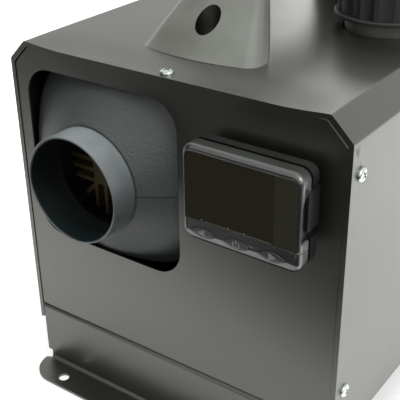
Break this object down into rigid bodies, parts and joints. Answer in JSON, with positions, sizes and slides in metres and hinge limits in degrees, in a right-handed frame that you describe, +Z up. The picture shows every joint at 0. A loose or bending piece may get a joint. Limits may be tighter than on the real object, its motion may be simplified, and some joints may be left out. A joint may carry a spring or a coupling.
{
  "type": "diesel air heater",
  "caption": "Portable fuel-burning air heater in a sheet-steel carry case with a built-in tank, round hot-air outlet, display and bolt-down feet.",
  "frame": {"origin": "centre of the four foot holes, on the surface the feet stand on", "axes": "+Z up; -Y out of the front, where the hot-air outlet is; +X to the right seen from the front"},
  "size_m": [0.2652, 0.4445, 0.3296],
  "materials": {
    "case_black": "satin",
    "zinc": "zinc plated",
    "nylon": "satin",
    "heater_shell": "fine grain",
    "ring_grey": "smooth satin",
    "cast_alloy": "as cast",
    "steel": "machined",
    "heat_steel": "heat-resistant steel, brushed",
    "gasket": "pressed fibre",
    "moulded_black": "moulded satin",
    "bronze": "sintered",
    "ferrite": "pressed ferrite",
    "copper_core": "varnished windings",
    "rubber": "matt",
    "tank_black": "blow-moulded",
    "cap_black": "moulded matt",
    "brass": "turned",
    "filter_clear": "clear",
    "line_white": "translucent",
    "handle_grey": "satin",
    "display_grey": "semi-gloss",
    "screen": "gloss",
    "board_green": "solder mask"
  },
  "bodies": {
    "case": {"stand": "case_black", "cover": "case_black", "cover_screws": "zinc", "front_panel": "case_black", "rear_panel": "case_black", "cable_gland": "nylon", "shell_upper": "heater_shell", "shell_lower": "heater_shell", "outlet_ring": "ring_grey", "inlet_grille": "heater_shell", "heat_exchanger": "cast_alloy", "overheat_sensor": "steel", "burner": "heat_steel", "burner_gasket": "gasket", "glow_plug": "steel", "blower_housing": "cast_alloy", "control_unit": "moulded_black", "motor_can": "zinc", "motor_bushes": "bronze", "motor_magnets": "ferrite", "fan_shroud": "moulded_black", "heater_bracket": "zinc", "bracket_screws": "zinc", "mounting_gasket": "gasket", "heater_studs": "steel", "heater_nuts": "zinc", "exhaust_pipe": "heat_steel", "intake_pipe": "cast_alloy", "floor_grommets": "rubber", "fuel_inlet_pipe": "steel", "fuel_tank": "tank_black", "tank_outlet": "brass", "tank_hose": "rubber", "fuel_filter": "filter_clear", "pump_hose": "rubber", "fuel_pump": "steel", "pump_sleeve": "rubber", "pump_bracket": "zinc", "fuel_line": "line_white", "line_sleeves": "rubber", "carry_handle": "handle_grey", "handle_screws": "zinc", "display_holder": "moulded_black", "holder_screws": "zinc", "display_back": "moulded_black", "display_frame": "display_grey", "display_window": "screen", "display_board": "board_green"},
    "rotor": {"motor_shaft": "steel", "armature": "copper_core", "combustion_impeller": "moulded_black", "hot_air_fan": "moulded_black"},
    "cap_seal": {"cap_seal": "rubber"},
    "tank_cap": {"tank_cap": "cap_black"},
    "button_left": {"button_left": "display_grey"},
    "button_power": {"button_power": "display_grey"},
    "button_right": {"button_right": "display_grey"}
  },
  "joints": [
    {"name": "fan_spin", "type": "hinge", "parent": "case", "child": "rotor", "pos_m": [-0.053, 0.08, 0.187], "axis": [0, 1, 0], "continuous": true},
    {"name": "cap_lift", "type": "slide", "parent": "case", "child": "cap_seal", "axis": [0, 0, 1], "range_m": [0, 0.01125]},
    {"name": "cap_turn", "type": "hinge", "parent": "cap_seal", "child": "tank_cap", "pos_m": [0.072, -0.034, 0.29], "axis": [0, 0, 1], "range_deg": [0, 810]},
    {"name": "button_left_press", "type": "slide", "parent": "case", "child": "button_left", "axis": [0, 1, 0], "range_m": [0, 0.0006], "stiffness_N_per_m": 800},
    {"name": "button_power_press", "type": "slide", "parent": "case", "child": "button_power", "axis": [0, 1, 0], "range_m": [0, 0.0006], "stiffness_N_per_m": 800},
    {"name": "button_right_press", "type": "slide", "parent": "case", "child": "button_right", "axis": [0, 1, 0], "range_m": [0, 0.0006], "stiffness_N_per_m": 800}
  ],
  "couplings": [
    {"joint": "cap_lift", "follows": "cap_turn", "m_per_rad": 0.00079577}
  ]
}
